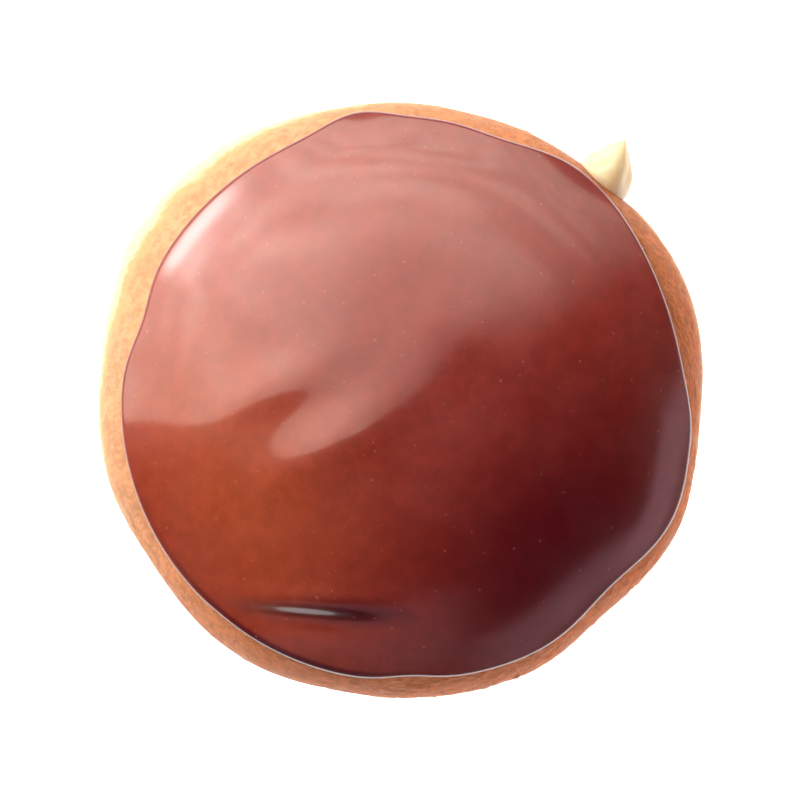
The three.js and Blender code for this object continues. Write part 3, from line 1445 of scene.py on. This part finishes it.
@dataclass(frozen=True)
class LitSheet(Panel):
    """A rectangle of lit cloth that only the gloss mirrors, and that fades out towards its edges."""

    fade: float

    def build(self) -> Object:
        """Makes the sheet.

        Returns:
            The sheet.
        """
        away = self.away()
        side = Vector(direction(self.at + 90))
        up = side.cross(away)
        across, along = np.array([-1.0, 1.0, 1.0, -1.0]), np.array([-1.0, -1.0, 1.0, 1.0])
        corners = [
            away * self.distance + side * (x * self.width / 2) + up * (y * self.height / 2)
            for x, y in zip(across, along)
        ]
        made = plain_mesh(self.name, corners, [(0, 1, 2, 3)])
        material = bpy.data.materials.new(self.name)
        net = emptied(material)
        glow = self.radiance
        for edge, values in (("across", across), ("along", along)):
            mark(made.data, edge, values)
            off_middle = net.math("ABSOLUTE", net.marked(edge))
            glow = net.times(glow, net.between(off_middle, 1.0, 1.0 - self.fade))
        # What is behind the sheet shows through it, so that its faded edges don't look dark.
        lit = net.add("ShaderNodeEmission", {"Color": (*self.colour, 1.0), "Strength": glow})
        clear = net.add("ShaderNodeBsdfTransparent")
        shader = net.add("ShaderNodeAddShader", {0: lit.outputs[0], 1: clear.outputs[0]})
        return only_mirrored(made, net, shader, material)


@dataclass(frozen=True)
class Scrim:
    """A fan-shaped level panel of lit cloth, whose glow fades inwards and towards both its ends."""

    height: float = 0.45
    # Where the fan's straight sides meet, along Y, and how near to it and how far from it the cloth is.
    apex: float = -0.035
    near: float = 0.01
    reach: float = 8.0
    # The angles of its two sides and, between them, of its brightest line.
    start: float = 31.0
    full: float = 135.0
    end: float = 180.0
    bright_from: float = 0.64
    radiance: float = 5.2
    inner_share: float = 0.5
    right_share: float = 0.36
    left_share: float = 0.7
    fade_in: float = 26.0
    unevenness: float = 0.3
    colour: Colour = (1.0, 0.87, 0.73)
    steps: int = 32

    def glow(self, net: Network) -> Socket:
        """Builds the cloth's brightness.

        Args:
            net: The material's network.

        Returns:
            The brightness's socket.
        """
        place = net.add("ShaderNodeTexCoord").outputs["Object"]
        parts = net.add("ShaderNodeSeparateXYZ", {0: place})
        ahead = net.math("SUBTRACT", parts.outputs[1], self.apex)
        turn = net.math("ARCTAN2", ahead, parts.outputs[0])
        # The arc tangent ends at half a turn, so the angle is taken from the brightest line.
        start, full, end = (math.radians(angle) for angle in (self.start, self.full, self.end))
        off = net.math("WRAP", net.math("SUBTRACT", turn, full), math.pi, -math.pi)
        rising = net.between(off, start - full, 0.0, self.right_share, 1.0)
        falling = net.between(off, 0.0, end - full, 1.0, self.left_share)
        fading = net.between(off, start - full, start - full + math.radians(self.fade_in))
        cloudy = net.add("ShaderNodeTexNoise", {"Vector": place, "Scale": 4.0, "Detail": 1.0}).outputs[0]
        cloudy = net.between(cloudy, 0.3, 0.7, 1.0 - self.unevenness, 1.0 + self.unevenness)
        out = net.add("ShaderNodeVectorMath", {0: place}, operation="LENGTH").outputs["Value"]
        outer = net.between(out, self.height, self.bright_from, self.inner_share, 1.0)
        glow = net.times(net.times(rising, falling), fading)
        return net.times(net.times(net.times(glow, cloudy), outer), self.radiance)

    def build(self) -> Object:
        """Makes the panel.

        Returns:
            The panel, a fan from almost overhead out to its far rim.
        """
        turns = np.radians(np.linspace(self.start, self.end, self.steps + 1))
        corners = [
            (radius * math.cos(turn), self.apex + radius * math.sin(turn), self.height)
            for radius in (self.near, self.reach)
            for turn in turns
        ]
        row = self.steps + 1
        made = plain_mesh("scrim", corners, [(i, i + 1, row + i + 1, row + i) for i in range(self.steps)])
        material = bpy.data.materials.new("lit_cloth")
        net = emptied(material)
        inputs = {"Color": (*self.colour, 1.0), "Strength": self.glow(net)}
        return only_mirrored(made, net, net.add("ShaderNodeEmission", inputs), material)


@dataclass
class Studio:
    """The camera above the doughnut, a pale floor and soft lights."""

    frame_width: float = 0.1156
    lens: float = 300.0
    floor_size: float = 6.0
    floor_glow: float = 1.2
    mirrored_radius: float = 0.12
    mirrored_glow: float = 1.6
    gloom: float = 0.01
    scrim: Scrim = field(default_factory=Scrim)
    lights: tuple[Softbox, ...] = (
        Softbox("key", 140, 45, 1.3, 0.6, 0.6, 18.0, (1.0, 0.97, 0.93)),
        Softbox("ceiling", 0, 88, 1.3, 1.6, 1.6, 0.35, (1.0, 0.97, 0.95)),
        Softbox("fill", 5, 10, 1.3, 1.2, 0.4, 2.0, (1.0, 0.78, 0.52)),
    )
    sheets: tuple[LitSheet, ...] = (
        LitSheet("window", 140, 25.4, 0.6, 0.46, 0.07, 14.0, (1.0, 0.98, 0.97), 0.8),
        LitSheet("upper_pane", 145, 31, 0.5, 0.2, 0.09, 3.5, (1.0, 0.98, 0.97), 0.9),
        LitSheet("low_front", 262, 30, 1.4, 1.4, 1.1, 0.42, (1.0, 0.62, 0.68), 0.5),
        LitSheet("low_middle", 306, 9, 1.4, 1.5, 0.8, 0.7, (1.0, 0.62, 0.74), 0.75),
        LitSheet("low_right", 342, 3, 1.4, 1.8, 0.65, 1.1, (1.0, 0.62, 0.74), 0.75),
    )

    def camera(self) -> Object:
        """Makes the camera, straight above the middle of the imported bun.

        Returns:
            The camera.
        """
        low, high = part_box("fried_dough")
        custard_low, custard_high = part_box("custard_filling")
        waist = (custard_low.z + custard_high.z) / 2
        data = bpy.data.cameras.new("camera")
        data.lens = self.lens
        made = linked("camera", data)
        distance = self.lens / data.sensor_width * self.frame_width
        made.location = ((low.x + high.x) / 2, (low.y + high.y) / 2, waist + distance)
        bpy.context.scene.camera = made
        return made

    def floor(self) -> Object:
        """Makes the floor, a white table that glows a little.

        Returns:
            The floor, which the doughnut's gloss doesn't mirror.
        """
        half = self.floor_size / 2
        corners = [(-half, -half, 0.0), (half, -half, 0.0), (half, half, 0.0), (-half, half, 0.0)]
        made = plain_mesh("floor", corners, [(0, 1, 2, 3)])
        material = bpy.data.materials.new("white_table")
        material.use_nodes = True
        shader = material.node_tree.nodes["Principled BSDF"]
        shader.inputs["Base Color"].default_value = (0.85, 0.85, 0.85, 1.0)
        shader.inputs["Roughness"].default_value = 0.7
        shader.inputs["Emission Color"].default_value = (1.0, 0.98, 0.97, 1.0)
        shader.inputs["Emission Strength"].default_value = self.floor_glow
        made.data.materials.append(material)
        made.visible_glossy = False
        return made

    def mirrored(self) -> Object:
        """Makes the round part of the table that the gloss mirrors.

        Returns:
            The disc, which only the gloss sees.
        """
        radius, turns = self.mirrored_radius, all_round(64)[0]
        rim = [(radius * math.cos(turn), radius * math.sin(turn), 0.0) for turn in turns]
        made = plain_mesh("mirrored_table", rim, [tuple(range(len(rim)))])
        material = bpy.data.materials.new("mirrored_white")
        net = emptied(material)
        shader = net.add("ShaderNodeEmission", {"Strength": self.mirrored_glow})
        return only_mirrored(made, net, shader, material)

    def surroundings(self) -> None:
        """Makes the world: white behind the object, and almost dark to everything else."""
        world = bpy.data.worlds.new("studio")
        bpy.context.scene.world = world
        net = emptied(world)
        seen = net.add("ShaderNodeLightPath").outputs["Is Camera Ray"]
        strength = net.math("MAXIMUM", self.gloom, seen)
        background = net.add("ShaderNodeBackground", {"Color": (1.0, 1.0, 1.0, 1.0), "Strength": strength})
        net.add("ShaderNodeOutputWorld", {"Surface": background.outputs[0]})

    def build(self) -> None:
        """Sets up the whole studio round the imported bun."""
        self.camera()
        self.floor()
        self.mirrored()
        for source in (self.scrim, *self.lights, *self.sheets):
            source.build()
        self.surroundings()
        view = bpy.context.scene.view_settings
        view.view_transform = "Standard"
        view.look = "None"


def numbers(corners: Sequence[Vector]) -> list[list[float]]:
    """Returns corners as plain lists."""
    return [[float(value) for value in corner] for corner in corners]


def main() -> None:
    """Builds the studio and the doughnut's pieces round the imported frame."""
    logging.basicConfig(level=logging.INFO, format="%(name)s: %(message)s")
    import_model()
    Studio().build()
    form = BunForm.from_frame()
    custard = CustardFilling(form)
    pieces = (custard, FriedDough(form, custard), ChocolateIcing(form))
    for piece in pieces:
        made = piece.build()
        LOG.info("%s: %d faces", made.name, len(made.data.polygons))


if __name__ == "__main__":
    main()
